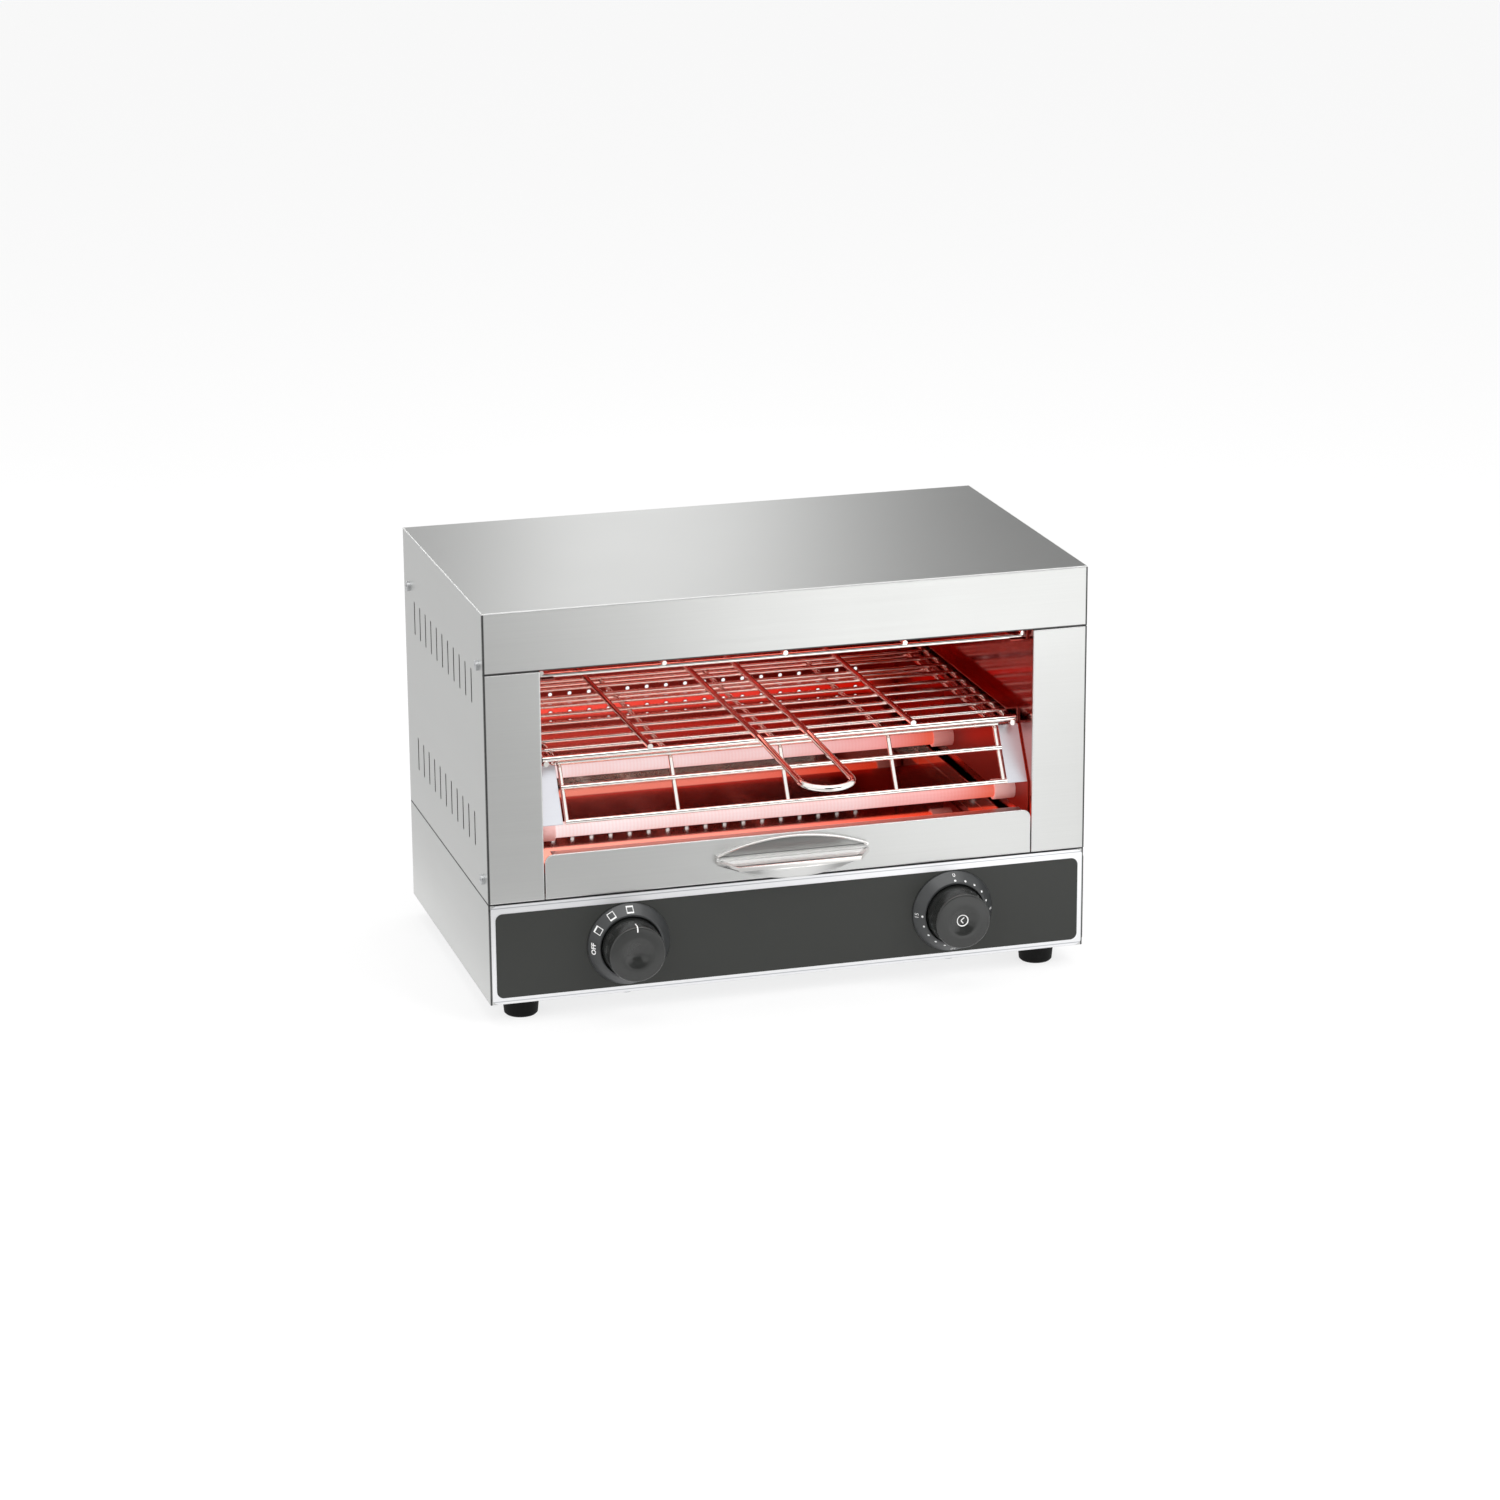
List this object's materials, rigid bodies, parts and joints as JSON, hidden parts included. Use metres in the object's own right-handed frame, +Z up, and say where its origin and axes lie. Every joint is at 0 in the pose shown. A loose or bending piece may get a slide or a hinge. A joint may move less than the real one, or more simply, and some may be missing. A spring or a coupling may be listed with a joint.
{
  "type": "sandwich toaster",
  "caption": "Open-fronted stainless steel sandwich toaster with a sliding wire rack between quartz heating tubes, a crumb tray and a black control panel with rotary knobs.",
  "frame": {"origin": "on the standing surface, at the centre of the overall box, which includes the rack handle in front and the cable gland behind", "axes": "+X to the right seen from the front, +Y from the open front to the rear, +Z up"},
  "size_m": [0.4444, 0.3759, 0.3],
  "materials": {
    "brushed_steel": "fine brushed stainless sheet",
    "polished_steel": "mirror-polished stainless sheet",
    "zinc_steel": "zinc-plated steel",
    "satin_aluminium": "satin, light silver",
    "black_film": "matt black printed film",
    "black_rubber": "matt",
    "black_plastic": "fine satin grain",
    "dark_resin": "moulded",
    "brass": "machined",
    "quartz": "milky quartz, glowing when hot",
    "ceramic": "unglazed ceramic",
    "element_wire": "red-hot wire",
    "chrome_wire": "bright plated wire",
    "chrome_cast": "bright plated casting",
    "lead_sleeve": "woven heat-proof sleeve"
  },
  "bodies": {
    "cabinet": {"outer_cover": "brushed_steel", "base_housing": "brushed_steel", "left_cavity_wall": "brushed_steel", "right_cavity_wall": "brushed_steel", "rear_panel": "brushed_steel", "cavity_ceiling": "polished_steel", "cavity_deck": "polished_steel", "base_plate": "zinc_steel", "control_fascia": "satin_aluminium", "control_overlay": "black_film", "feet": "black_rubber", "foot_screws": "zinc_steel", "base_screws": "zinc_steel", "cover_screws": "zinc_steel", "rear_screws": "zinc_steel", "selector_bezel": "black_plastic", "timer_bezel": "black_plastic", "selector_switch": "dark_resin", "timer_unit": "dark_resin", "shaft_nuts": "brass", "lower_front_tube": "quartz", "lower_rear_tube": "quartz", "upper_front_tube": "quartz", "upper_rear_tube": "quartz", "lower_tube_caps": "ceramic", "upper_tube_caps": "ceramic", "heating_elements": "element_wire", "left_lower_bracket": "polished_steel", "right_lower_bracket": "polished_steel", "left_upper_bracket": "polished_steel", "right_upper_bracket": "polished_steel", "left_rack_rail": "polished_steel", "right_rack_rail": "polished_steel", "lower_guard": "chrome_wire", "lower_guard_rods": "chrome_wire", "upper_guard": "chrome_wire", "upper_guard_rods": "chrome_wire", "cable_gland": "black_plastic", "gland_nut": "black_plastic", "terminal_block": "dark_resin", "selector_lead": "lead_sleeve", "timer_lead": "lead_sleeve", "left_riser": "lead_sleeve", "right_riser": "lead_sleeve"},
    "rack": {"rack": "chrome_wire", "rack_side_rods": "chrome_wire", "rack_handle": "chrome_wire"},
    "crumb_tray": {"crumb_tray": "polished_steel", "tray_front": "brushed_steel", "tray_handle": "chrome_cast", "handle_screws": "zinc_steel"},
    "selector": {"selector_knob": "black_plastic", "selector_shaft": "zinc_steel"},
    "timer": {"timer_knob": "black_plastic", "timer_shaft": "zinc_steel"}
  },
  "joints": [
    {"name": "rack_slide", "type": "slide", "parent": "cabinet", "child": "rack", "axis": [0, -1, 0], "range_m": [0, 0.2]},
    {"name": "tray_slide", "type": "slide", "parent": "cabinet", "child": "crumb_tray", "axis": [0, -1, 0], "range_m": [0, 0.22]},
    {"name": "selector_turn", "type": "hinge", "parent": "cabinet", "child": "selector", "pos_m": [-0.12, -0.0843, 0.0525], "axis": [0, -1, 0], "range_deg": [0, 90]},
    {"name": "timer_turn", "type": "hinge", "parent": "cabinet", "child": "timer", "pos_m": [0.12, -0.0843, 0.0525], "axis": [0, 1, 0], "range_deg": [0, 270]}
  ]
}
